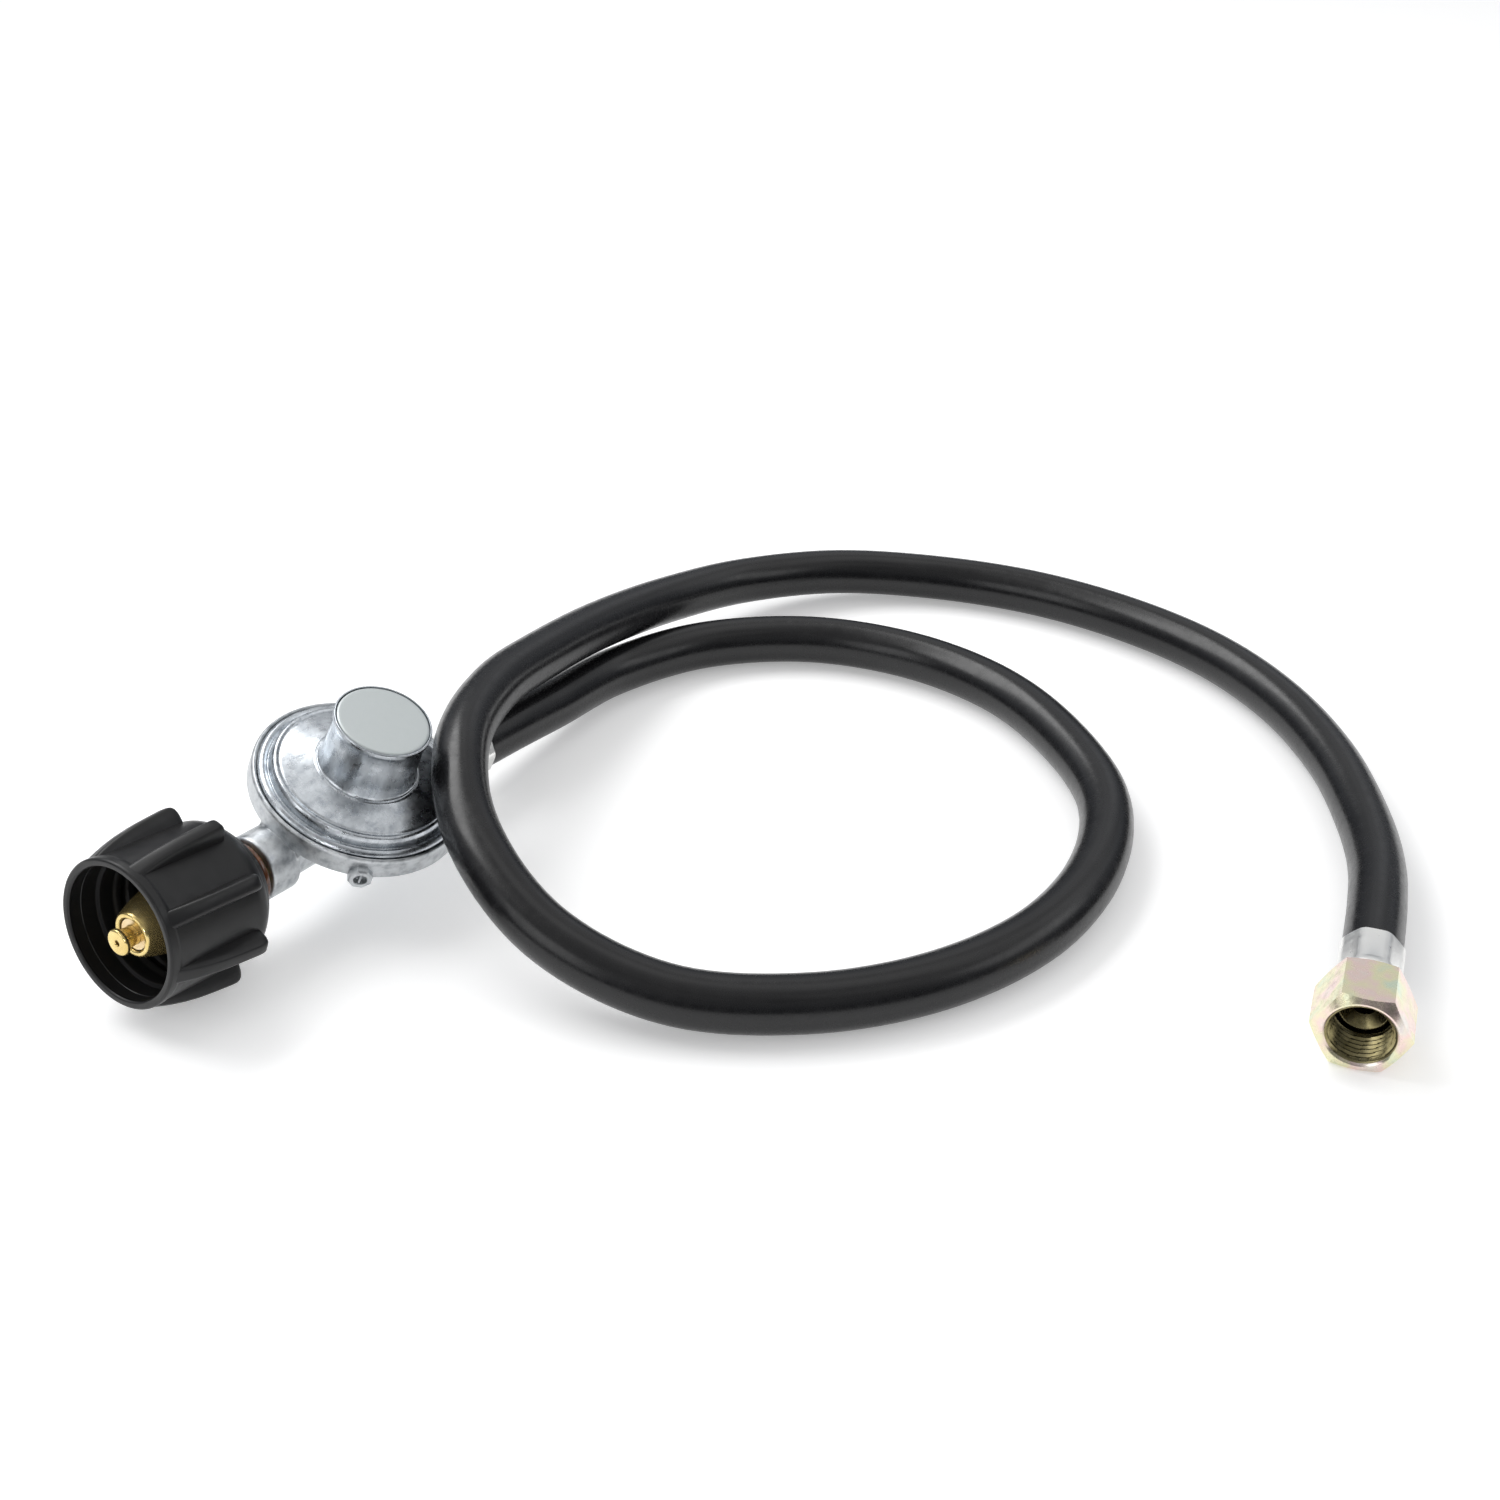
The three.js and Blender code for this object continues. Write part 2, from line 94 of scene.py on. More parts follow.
def noise(mat, scale, detail=4.0, stretch=(1, 1, 1), rough=0.55):
    tree = mat.node_tree
    where = tree.nodes.new("ShaderNodeTexCoord")
    place = tree.nodes.new("ShaderNodeMapping")
    place.inputs["Scale"].default_value = stretch
    grain = tree.nodes.new("ShaderNodeTexNoise")
    grain.inputs["Scale"].default_value = scale
    grain.inputs["Detail"].default_value = detail
    grain.inputs["Roughness"].default_value = rough
    tree.links.new(where.outputs["Object"], place.inputs["Vector"])
    tree.links.new(place.outputs["Vector"], grain.inputs["Vector"])
    return grain.outputs["Fac"]


def spread(mat, source, low, high, source_low=0.3, source_high=0.7):
    """Maps a source, which for a noise lies mostly between 0.3 and 0.7, onto low to high."""
    change = mat.node_tree.nodes.new("ShaderNodeMapRange")
    change.inputs["From Min"].default_value = source_low
    change.inputs["From Max"].default_value = source_high
    change.inputs["To Min"].default_value = low
    change.inputs["To Max"].default_value = high
    mat.node_tree.links.new(source, change.inputs["Value"])
    return change.outputs["Result"]


def ramp(mat, source, stops):
    colors = mat.node_tree.nodes.new("ShaderNodeValToRGB")
    while len(colors.color_ramp.elements) < len(stops):
        colors.color_ramp.elements.new(0.5)
    for stop, (at, color) in zip(colors.color_ramp.elements, stops):
        stop.position = at
        stop.color = (*color, 1)
    mat.node_tree.links.new(source, colors.inputs["Fac"])
    return colors.outputs["Color"]


def join(mat, output, socket):
    mat.node_tree.links.new(output, mat.node_tree.nodes["Principled BSDF"].inputs[socket])


def bump(mat, sources, strength=0.5):
    """Chains one bump node for each (source, height)."""
    last = None
    for source, height in sources:
        raised = mat.node_tree.nodes.new("ShaderNodeBump")
        raised.inputs["Strength"].default_value = strength
        raised.inputs["Distance"].default_value = height
        mat.node_tree.links.new(source, raised.inputs["Height"])
        if last is not None:
            mat.node_tree.links.new(last, raised.inputs["Normal"])
        last = raised.outputs["Normal"]
    join(mat, last, "Normal")


def cast_zinc(name, light, rough, height, dark, stretch=(1, 1, 1)):
    """Zinc with clouded patches: dark is the share of the light colour left in the darkest ones."""
    mat = material(name, light, rough, 1.0)
    patches = noise(mat, 330, 7, stretch, 0.6)
    grain = noise(mat, 1300, 4)
    tone = ramp(mat, patches, [
        (0.32, (light[0] * dark, light[1] * (dark + 0.015), light[2] * (dark + 0.04))),
        (0.5, light),
        (0.7, tuple(min(1, c * 1.2) for c in light))])
    join(mat, tone, "Base Color")
    join(mat, spread(mat, noise(mat, 330, 5), rough - 0.07, rough + 0.14), "Roughness")
    bump(mat, [(patches, height * 2.5), (grain, height)], 0.7)
    return mat


zinc = cast_zinc("zinc_cast", (0.56, 0.58, 0.595), 0.38, 0.00008, 0.62)
zinc_bright = cast_zinc("zinc_bright", (0.52, 0.55, 0.58), 0.25, 0.00002, 0.70, (1, 1, 0.35))

cap_metal = material("cap_satin", (0.60, 0.64, 0.64), 0.5, 0.55)
join(cap_metal, spread(cap_metal, noise(cap_metal, 260, 5), 0.42, 0.6), "Roughness")
bump(cap_metal, [(noise(cap_metal, 2200, 3), 0.00001)])

brass = material("brass_turned", (0.80, 0.62, 0.34), 0.26, 1.0)
join(brass, spread(brass, noise(brass, 60, 3, (26, 1, 1)), 0.20, 0.34), "Roughness")
join(brass, ramp(brass, noise(brass, 190, 4), [
    (0.3, (0.70, 0.52, 0.28)), (0.55, (0.82, 0.64, 0.38)), (0.75, (0.88, 0.72, 0.46))]), "Base Color")
bump(brass, [(noise(brass, 90, 2, (30, 0.4, 0.4)), 0.00001)])

plastic = material("nut_plastic", (0.011, 0.011, 0.0115), 0.36, 0.0, Specular_IOR_Level=0.34)
join(plastic, spread(plastic, noise(plastic, 240, 5), 0.28, 0.42), "Roughness")
bump(plastic, [(noise(plastic, 3500, 2), 0.000012), (noise(plastic, 300, 3), 0.00003)])

bright_brass = material("brass_polished", (0.82, 0.64, 0.27), 0.26, 0.88)
join(bright_brass, ramp(bright_brass, noise(bright_brass, 190, 4), [
    (0.3, (0.72, 0.54, 0.20)), (0.55, (0.82, 0.64, 0.27)), (0.75, (0.90, 0.75, 0.38))]), "Base Color")
join(bright_brass, spread(bright_brass, noise(bright_brass, 60, 2, (20, 1, 1)), 0.2, 0.27), "Roughness")

# A darker, less glossy copy of the black plastic for the nut's bore: painted shade in the recess.
shade = material("nut_inside_painted_shade", (0.006, 0.006, 0.0065), 0.5, 0.0, Specular_IOR_Level=0.2)
bump(shade, [(noise(shade, 2600, 3), 0.000012)])

amber = material("amber_plastic", (0.16, 0.055, 0.015), 0.14, 0.0, Coat_Weight=0.6, Coat_Roughness=0.08)
join(amber, ramp(amber, noise(amber, 420, 4), [
    (0.3, (0.05, 0.016, 0.006)), (0.6, (0.14, 0.045, 0.012)), (0.8, (0.32, 0.12, 0.03))]), "Base Color")

rubber = material("hose_rubber", (0.010, 0.010, 0.011), 0.24, 0.0, Specular_IOR_Level=0.42)
scuff = noise(rubber, 300, 7, (1, 1, 1), 0.65)
join(rubber, ramp(rubber, noise(rubber, 45, 5), [
    (0.3, (0.007, 0.007, 0.008)), (0.6, (0.010, 0.010, 0.011)), (0.8, (0.015, 0.015, 0.016))]),
    "Base Color")
join(rubber, spread(rubber, scuff, 0.20, 0.32), "Roughness")
bump(rubber, [(noise(rubber, 160, 3), 0.00003), (noise(rubber, 4200, 2), 0.000008)], 0.4)

plated = material("plated_steel", (0.90, 0.90, 0.88), 0.3, 0.9)
join(plated, spread(plated, noise(plated, 420, 5), 0.26, 0.40), "Roughness")
bump(plated, [(noise(plated, 900, 4), 0.00002)])

yellow = material("yellow_zinc", (0.88, 0.82, 0.68), 0.24, 0.9)
join(yellow, ramp(yellow, noise(yellow, 90, 3), [
    (0.28, (0.68, 0.78, 0.62)), (0.42, (0.84, 0.80, 0.54)), (0.54, (0.88, 0.69, 0.64)),
    (0.66, (0.82, 0.76, 0.68)), (0.8, (0.76, 0.67, 0.74))]), "Base Color")
join(yellow, spread(yellow, noise(yellow, 500, 5), 0.16, 0.32), "Roughness")
bump(yellow, [(noise(yellow, 1400, 3), 0.00002)])

# A darker copy of the brass for surfaces inside the flare fitting: painted shade.
brass_painted_shade = material("brass_inside_painted_shade", (0.36, 0.31, 0.16), 0.3, 1.0)
join(brass_painted_shade, ramp(brass_painted_shade, noise(brass_painted_shade, 260, 4), [
    (0.3, (0.22, 0.19, 0.09)), (0.55, (0.36, 0.31, 0.16)), (0.75, (0.52, 0.46, 0.26))]), "Base Color")
join(brass_painted_shade, spread(brass_painted_shade, noise(brass_painted_shade, 600, 4), 0.2, 0.36), "Roughness")

# Near-black metal for the flare nut's thread roots: painted shade in the roots.
painted_root_shade = material("painted_root_shade", (0.06, 0.052, 0.025), 0.45, 0.9)
join(painted_root_shade, spread(painted_root_shade, noise(painted_root_shade, 700, 4), 0.36, 0.55), "Roughness")

steel = material("steel_plain", (0.56, 0.57, 0.58), 0.34, 1.0)
join(steel, spread(steel, noise(steel, 400, 5), 0.26, 0.42), "Roughness")

seal = material("seal_rubber", (0.03, 0.03, 0.032), 0.62)
join(seal, spread(seal, noise(seal, 500, 4), 0.5, 0.75), "Roughness")
bump(seal, [(noise(seal, 2500, 2), 0.00002)])


# ---------- mesh helpers: lengths in millimetres, angles of sharp edges in degrees ----------
def finish_mesh(name, mesh, mat, where, sharp=32.0):
    bmesh.ops.remove_doubles(mesh, verts=mesh.verts, dist=1e-7)
    bmesh.ops.recalc_face_normals(mesh, faces=mesh.faces)
    data = bpy.data.meshes.new(name)
    mesh.to_mesh(data)
    mesh.free()
    data.shade_smooth()
    data.set_sharp_from_angle(angle=rad(sharp))
    made = bpy.data.objects.new(name, data)
    bpy.context.collection.objects.link(made)
    made.matrix_world = where
    data.materials.append(mat)
    return made


def rounded(points, steps=4):
    """Points of (radius, height) or (radius, height, fillet) as a polyline with its corners rounded."""
    line = []
    for i, point in enumerate(points):
        fillet = point[2] if len(point) > 2 else 0
        if not fillet or i in (0, len(points) - 1):
            line.append((point[0], point[1]))
            continue
        here = Vector(point[:2])
        before = Vector(points[i - 1][:2]) - here
        after = Vector(points[i + 1][:2]) - here
        cut = min(fillet, before.length * 0.49, after.length * 0.49)
        start = here + before.normalized() * cut
        end = here + after.normalized() * cut
        for k in range(steps + 1):
            share = k / steps
            bend = start * (1 - share) ** 2 + here * 2 * share * (1 - share) + end * share ** 2
            line.append((bend.x, bend.y))
    return line


def around(sides):
    return [TURN * j / sides for j in range(sides)]


def circle(radius, height, turns):
    return [(radius, height, turn) for turn in turns]


def off_middle(turn, step):
    """The angle between a direction and the middle of its flat, on a shape with one flat each step."""
    return (turn + step / 2) % step - step / 2


def loft(name, rows, mat, where, axis="X", ring=False, sharp=32.0):
    """Each row is a list of (radius, height, angle); ring closes the last row on the first."""
    mesh = bmesh.new()
    grid = []
    for row in rows:
        line = []
        for radius, height, turn in row:
            across = radius * math.cos(turn) * MM
            over = radius * math.sin(turn) * MM
            if axis == "X":
                line.append(mesh.verts.new((height * MM, across, over)))
            else:
                line.append(mesh.verts.new((across, over, height * MM)))
        grid.append(line)
    pairs = list(zip(grid, grid[1:])) + ([(grid[-1], grid[0])] if ring else [])
    for this, following in pairs:
        for j in range(len(this)):
            k = (j + 1) % len(this)
            mesh.faces.new((this[j], this[k], following[k], following[j]))
    if not ring:
        for end in (grid[0], grid[-1]):
            if (end[0].co - end[len(end) // 2].co).length > 1e-6:
                mesh.faces.new(end)
    bmesh.ops.dissolve_degenerate(mesh, dist=1e-8, edges=mesh.edges)
    return finish_mesh(name, mesh, mat, where, sharp)


def turned(name, points, mat, where, axis="X", sides=96, sharp=32.0):
    """A turned shape; it is a closed ring when its first point is off the axis."""
    rows = [circle(radius, height, around(sides)) for radius, height in rounded(points)]
    return loft(name, rows, mat, where, axis, points[0][0] > 0, sharp)


def block(mesh, size, at):
    corners = bmesh.ops.create_cube(mesh, size=1)["verts"]
    bmesh.ops.scale(mesh, vec=[side * MM for side in size], verts=corners)
    bmesh.ops.translate(mesh, vec=[place * MM for place in at], verts=corners)


def merge(name, objects):
    """Joins objects that share a place into one."""
    mesh = bmesh.new()
    for part in objects:
        mesh.from_mesh(part.data)
    data = bpy.data.meshes.new(name)
    mesh.to_mesh(data)
    mesh.free()
    made = bpy.data.objects.new(name, data)
    bpy.context.collection.objects.link(made)
    made.matrix_world = objects[0].matrix_world.copy()
    for mat in objects[0].data.materials:
        data.materials.append(mat)
    for part in objects:
        bpy.data.objects.remove(part)
    return made


def inside(piece, mat, low, high, edge):
    """Gives a further material to the faces between two radii from the X axis, and past edge."""
    piece.data.materials.append(mat)
    side = math.copysign(1, edge)
    for face in piece.data.polygons:
        middle = face.center / MM
        if low < math.hypot(middle.y, middle.z) < high and middle.x * side > abs(edge):
            face.material_index = len(piece.data.materials) - 1
    return piece


def put(piece, body, slot, *nodes):
    """Sets the body a piece rides on and hides the CAD nodes it replaces; slot is not used."""
    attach(piece, body)
    if nodes:
        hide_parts(*nodes)
    return piece


# ---------- hose ----------
HOSE_RADIUS = 7.98
HOSE_STEPS = 330
ROUTE = [
    (70.0, 4.7, 16.1), (88.0, 4.7, 14.6), (107.0, 5.0, 12.4), (142.0, 5.2, 9.2),
    (175.0, -8.0, 8.3), (199.0, -36.0, 8.1), (208.0, -71.0, 8.1), (203.0, -107.0, 8.1),
    (185.0, -139.0, 8.1), (159.0, -165.0, 8.1), (125.5, -178.0, 8.1), (89.0, -178.5, 8.1),
    (55.0, -165.5, 8.1), (27.5, -141.5, 8.2), (9.0, -110.5, 10.3), (4.0, -75.5, 19.0),
    (16.0, -42.0, 31.0), (39.5, -18.5, 38.0), (72.0, -2.5, 36.8), (108.0, 5.5, 31.6),
    (144.0, 10.0, 25.4), (180.0, 9.5, 19.2), (215.0, 2.0, 14.0), (245.5, -18.0, 10.6),
    (265.5, -48.0, 8.3), (274.5, -83.5, 8.1), (274.0, -120.5, 8.1), (265.0, -156.0, 8.1),
    (246.5, -187.5, 8.1), (221.0, -213.5, 8.1), (191.5, -233.5, 8.3), (169.0, -244.5, 9.3),
    (150.0, -250.7, 10.5), (125.4, -257.2, 11.2),
]


def through(points, steps):
    """A centripetal Catmull-Rom curve through the points, as the CAD hose follows."""
    stops = [Vector(point) for point in points]
    spans = len(stops) - 1
    line = []
    for step in range(steps + 1):
        at = spans * step / steps
        i = min(int(at), spans - 1)
        share = at - i
        p1, p2 = stops[i], stops[i + 1]
        p0 = stops[i - 1] if i > 0 else 2 * stops[0] - stops[1]
        p3 = stops[i + 2] if i + 2 <= spans else 2 * stops[-1] - stops[-2]
        d0 = (p1 - p0).length ** 0.5
        d1 = (p2 - p1).length ** 0.5
        d2 = (p3 - p2).length ** 0.5
        t1 = ((p1 - p0) / d0 - (p2 - p0) / (d0 + d1) + (p2 - p1) / d1) * d1
        t2 = ((p2 - p1) / d1 - (p3 - p1) / (d1 + d2) + (p3 - p2) / d2) * d1
        square = -3 * p1 + 3 * p2 - 2 * t1 - t2
        cube = 2 * p1 - 2 * p2 + t1 + t2
        line.append(p1 + t1 * share + square * share * share + cube * share ** 3)
    return line


curve = bpy.data.curves.new("hose_line", "CURVE")
curve.dimensions = "3D"
curve.bevel_depth = HOSE_RADIUS * MM
curve.bevel_resolution = 10
curve.use_fill_caps = True
spline = curve.splines.new("POLY")
track = through(ROUTE, HOSE_STEPS)
spline.points.add(len(track) - 1)
for point, at in zip(spline.points, track):
    point.co = (at.x * MM, at.y * MM, at.z * MM, 1)
spline.use_smooth = True
hose = bpy.data.objects.new("gas_hose", curve)
bpy.context.collection.objects.link(hose)
curve.materials.append(rubber)
put(hose, "regulator", "hose_rubber", "hose")

# ---------- regulator ----------
# Each profile below is a list of (radius, place along the axis) or (radius, place, fillet).
BOWL = [
    (0, -6.8), (9.5, -6.8, 1.5), (14.8, -4.6, 3), (20.8, 1.8, 3), (25.3, 7.2, 1.2),
    (29.9, 7.7, 0.6), (30.4, 9.4), (30.4, 13.4), (0, 13.4)]
COLLAR = [
    (0, -38.2), (9.1, -38.2, 0.3), (9.6, -37.7, 0.3), (9.6, -28.6, 0.3), (7.5, -28.0, 0.5),
    (7.3, -14), (0, -14)]
PORT = [
    (0, 12.2), (8.6, 12.2), (8.4, 33.0, 0.5), (8.0, 33.4, 0.3), (8.0, 36.0, 0.4), (0, 36.0)]
BAND = [
    (29.75, 9.0), (30.2, 8.0, 0.5), (30.9, 8.5, 0.5), (30.9, 14.3, 0.8), (30.2, 15.15, 0.5),
    (29.72, 14.7, 0.4)]
BONNET = [
    (29.35, 12.8), (29.35, 14.9, 0.3), (28.75, 15.75, 0.5), (27.9, 16.15, 0.5), (26.95, 15.6, 0.4),
    (26.75, 15.2, 0.2), (26.35, 15.3, 0.2), (26.0, 17.3, 0.35), (25.5, 18.3, 0.35),
    (24.8, 18.55, 0.3), (24.35, 18.25, 0.2), (24.0, 18.2, 0.2), (23.5, 18.5, 0.3),
    (14.9, 20.5, 0.2), (14.55, 20.95, 0.25), (14.2, 20.9, 0.2), (13.8, 21.5, 0.8),
    (13.25, 24.2, 1.5), (12.95, 33.4, 1.5), (13.2, 36.1, 0.5), (13.72, 36.7, 0.3),
    (13.78, 37.95, 0.2), (13.5, 38.32, 0.12), (13.22, 38.3, 0.1), (13.15, 37.4, 0.1),
    (12.0, 37.2), (11.2, 37.0), (11.2, 22.5), (12.5, 19.3), (22.6, 16.9), (23.9, 16.0), (24.4, 12.8)]
CAP = [
    (0, 37.5), (12.85, 37.5, 0.1), (12.95, 38.0, 0.2), (12.5, 38.36, 0.25), (11.9, 38.4, 0.2), (0, 38.4)]
WEB_SIZE = (11.5, 15.6, 10)
WEB_AT = (-23.6, 0, 4.6)
VOXEL = 0.34


def casting():
    """Bowl, collar, port and web, remeshed into one skin with soft inner corners."""
    bowl = turned("bowl", BOWL, zinc, REG, "Z", 96)
    collar = turned("collar", COLLAR, zinc, REG, "X", 72)
    port = turned("port", PORT, zinc, REG, "X", 72)
    web = bmesh.new()
    block(web, WEB_SIZE, WEB_AT)
    whole = merge("regulator_casting", [bowl, collar, port, finish_mesh("web", web, zinc, REG)])
    skin = whole.modifiers.new("skin", "REMESH")
    skin.mode = "VOXEL"
    skin.voxel_size = VOXEL * MM
    skin.use_smooth_shade = True
    soften = whole.modifiers.new("soften", "SMOOTH")
    soften.factor = 0.5
    soften.iterations = 3
    graph = bpy.context.evaluated_depsgraph_get()
    data = bpy.data.meshes.new_from_object(whole.evaluated_get(graph))
    whole.modifiers.clear()
    whole.data = data
    data.materials.clear()
    data.materials.append(zinc)
    data.shade_smooth()
    return whole


put(casting(), "regulator", "zinc", "regulator_body")
put(turned("rolled_band", BAND, zinc, REG, "Z", 160), "regulator", "zinc")
put(turned("bonnet_cover", BONNET, zinc_bright, REG, "Z", 160, 40), "regulator", "zinc", "bonnet")
put(turned("cap_disc", CAP, cap_metal, REG, "Z", 128), "regulator", "cap", "tower_cap")

VENT_TURN = rad(226.7)
VENT_HEIGHT = 9.3
VENT_OUTSIDE = [(3.2, 29.6), (3.2, 32.7), (2.8, 33.1)]
VENT_HOLE = [(1.95, 33.1), (1.8, 32.9), (1.75, 31.2)]
BAR_SIZE = (1.4, 0.55, 3.6)
BAR_AT = (31.9, 0, 0)


def vent():
    """An eight-sided boss with a round hole and a thin bar across the hole."""
    place = REG @ Matrix.Rotation(VENT_TURN, 4, "Z") @ Matrix.Translation((0, 0, VENT_HEIGHT * MM))
    turns = around(64)
    rows = []
    for apothem, x in VENT_OUTSIDE:
        rows.append([(apothem / math.cos(off_middle(turn, EIGHTH)), x, turn) for turn in turns])
    for radius, x in VENT_HOLE:
        rows.append(circle(radius, x, turns))
    boss = loft("boss", rows, zinc, place, sharp=20)
    bar = bmesh.new()
    block(bar, BAR_SIZE, BAR_AT)
    bmesh.ops.bevel(bar, geom=bar.edges[:], offset=0.12 * MM, segments=2, affect="EDGES")
    return merge("vent_boss", [boss, finish_mesh("bar", bar, zinc, place)])


put(vent(), "regulator", "zinc")

NIPPLE = [
    (4.7, -76.0), (4.7, -78.35, 0.15), (5.05, -78.7, 0.15), (5.95, -78.7, 0.3), (6.35, -78.2, 0.5),
    (7.5, -75.6, 2.0), (8.65, -72.0, 2.0), (9.35, -68.4, 2.0), (9.65, -65.0, 2.0),
    (9.65, -51.4, 0.5), (9.0, -50.3, 0.4), (6.2, -49.8, 0.4), (6.2, -38.7, 0.4), (5.7, -37.9),
    (5.7, -25.6), (2.2, -25.1), (2.2, -48.0), (4.7, -50.0)]
PROBE = [
    (0.8, -81.0), (0.8, -83.1, 0.1), (1.0, -83.3, 0.1), (3.3, -83.3, 0.25), (3.75, -82.9, 0.3),
    (3.75, -82.0, 0.3), (3.3, -81.5, 0.3), (2.7, -81.1, 0.2), (2.7, -75.8, 0.1), (4.3, -75.7, 0.1),
    (4.3, -74.3, 0.1), (1.5, -73.9), (1.5, -62.0), (0.8, -62.0)]
put(turned("nipple_brass", NIPPLE, bright_brass, REG, "X", 128), "regulator", "brass", "inlet_nipple")
put(turned("probe_pin", PROBE, bright_brass, REG, "X", 64), "probe_pin", "brass", "probe")

# ---------- crimped sleeves ----------
SLEEVE_FLAT = 8.3
SLEEVE_ROUND = 8.72
SLEEVE_BORE = 5.0


def sleeve(name, start, length, where, flip=False):
    """A sleeve with eight flats, and a round lip at one end; flip puts the lip at its start."""
    # place along the axis, radius of the round shape, and share of the flats
    stations = [
        (0.0, 8.1, 0), (0.2, SLEEVE_ROUND, 0.8), (0.6, SLEEVE_ROUND, 1), (length - 3.0, SLEEVE_ROUND, 1),
        (length - 2.4, SLEEVE_ROUND, 0.6), (length - 1.8, SLEEVE_ROUND, 0),
        (length - 0.7, SLEEVE_ROUND, 0), (length - 0.25, 8.5, 0), (length, 8.1, 0)]
    if flip:
        stations = [(length - x, radius, share) for x, radius, share in reversed(stations)]
    turns = around(96)
    rows = []
    for x, radius, share in stations:
        row = []
        for turn in turns:
            eight = min(SLEEVE_FLAT / math.cos(off_middle(turn, EIGHTH)), SLEEVE_ROUND)
            row.append((radius * (1 - share) + eight * share, start + x, turn))
        rows.append(row)
    rows.append(circle(SLEEVE_BORE, start + length, turns))
    rows.append(circle(SLEEVE_BORE, start, turns))
    return loft(name, rows, plated, where, ring=True, sharp=24)


put(sleeve("outlet_sleeve", 36.3, 17.7, REG, flip=True), "regulator", "ferrule", "outlet_ferrule")
end_sleeve = put(sleeve("hose_end_sleeve", -36.1, 15.0, FIT), "regulator", "ferrule", "hose_end_ferrule")

# ---------- bottle nut ----------
NUT_OUTSIDE = [
    (18.4, 0.6), (18.75, 0.1, 0.3), (20.1, 0.0, 0.3), (20.6, 0.45, 0.4), (20.6, 2.6, 0.6),
    (20.35, 3.3, 0.6), (20.05, 31.2, 1.4), (19.1, 33.6, 1.6), (15.5, 37.5, 2.5), (11.2, 40.9, 1.0),
    (9.9, 41.8, 0.4), (8.8, 41.8, 0.2), (8.8, 34.6, 0.2), (15.4, 34.6, 0.4), (16.5, 33.4, 0.4),
    (17.25, 32.6)]
NUT_MOUTH = [
    (17.35, 10.4), (17.4, 9.3, 0.25), (18.4, 8.9, 0.25), (18.4, 4.4, 0.2), (18.55, 4.2), (18.5, 1.0)]
NUT_BORE = 17.35
NUT_THREAD_DEPTH = 0.7
NUT_PITCH = 4.23
NUT_THREAD_BACK = 31.8
NUT_THREAD_FRONT = 10.6
NUT_THREAD_ROWS = 62
RIB_COUNT = 8
RIB_TURN = 16
RIB_FOOT = 19.0
RIB_WIDTH = 4.7
RIB_FULLNESS = 0.42
# place along the nut, and radius of the rib's crest there
RIB_CREST = [
    (1.2, 20.3), (2.4, 20.75), (4.5, 21.5), (7.5, 22.4), (11.0, 23.2), (15.0, 23.9), (19.0, 24.35),
    (23.0, 24.7), (26.0, 24.95), (27.6, 24.98), (28.5, 24.75), (29.15, 24.25), (29.5, 23.5),
    (29.6, 22.4), (29.6, 19.0)]


def clamp(value):
    return max(0.0, min(1.0, value))


def nut_shell():
    """The nut without its ribs, with a helical thread that fades out at both ends."""
    turns = around(144)
    rows = [circle(radius, x, turns) for radius, x in rounded(NUT_OUTSIDE, 5)]
    for k in range(NUT_THREAD_ROWS + 1):
        x = NUT_THREAD_BACK - k * (NUT_THREAD_BACK - NUT_THREAD_FRONT) / NUT_THREAD_ROWS
        fade = clamp(min((31.0 - x) / 1.5, (x - 13.0) / 1.5))
        row = []
        for turn in turns:
            phase = (x / NUT_PITCH - turn / TURN) % 1.0
            wave = clamp(2.6 - abs(phase - 0.5) * 8.0)
            row.append((NUT_BORE - NUT_THREAD_DEPTH * wave * fade, x, turn))
        rows.append(row)
    rows += [circle(radius, x, turns) for radius, x in rounded(NUT_MOUTH)]
    shell = loft("nut_shell", rows, plastic, NUT, ring=True, sharp=34)
    # The bore faces take the darker copy of the plastic: painted shade inside the nut.
    return inside(shell, shade, 0, 18.45, 0.7)


def rib(turn):
    """One grip rib with a rounded crest, which rises towards the back of the nut."""
    mesh = bmesh.new()
    grid = []
    count = 20
    for x, crest in RIB_CREST:
        width = RIB_WIDTH - 0.5 * max(0.0, x - 28.6)
        line = []
        for j in range(count + 1):
            across = math.cos(math.pi * j / count)
            rise = math.sin(math.pi * j / count)
            side = math.copysign(abs(across) ** RIB_FULLNESS, across)
            y = width / 2 * side * (1.06 - 0.12 * rise)
            z = RIB_FOOT + (crest - RIB_FOOT) * rise ** RIB_FULLNESS
            line.append(mesh.verts.new((x * MM, y * MM, z * MM)))
        grid.append(line)
    for this, following in zip(grid, grid[1:]):
        for j in range(count):
            mesh.faces.new((this[j], this[j + 1], following[j + 1], following[j]))
        mesh.faces.new((this[count], this[0], following[0], following[count]))
    mesh.faces.new(grid[0])
    mesh.faces.new(grid[-1])
    bmesh.ops.rotate(mesh, verts=mesh.verts, matrix=Matrix.Rotation(turn, 3, "X"))
    return finish_mesh("rib", mesh, plastic, NUT, 50)


ribs = [rib(rad(RIB_TURN + 360 / RIB_COUNT * i)) for i in range(RIB_COUNT)]
nut = merge("bottle_nut", [nut_shell()] + ribs)
nut.data.set_sharp_from_angle(angle=rad(36))
put(nut, "bottle_nut", "black_plastic", "coupling_nut")

BUSHING = [
    (7.5, 36.0), (8.5, 36.0), (8.5, 42.0), (9.2, 42.05, 0.2), (9.7, 42.35, 0.4), (9.7, 43.4, 0.4),
    (9.2, 43.9, 0.3), (7.5, 43.9, 0.2)]
put(turned("heat_bushing", BUSHING, amber, NUT), "bottle_nut", "amber_plastic", "thermal_bushing")

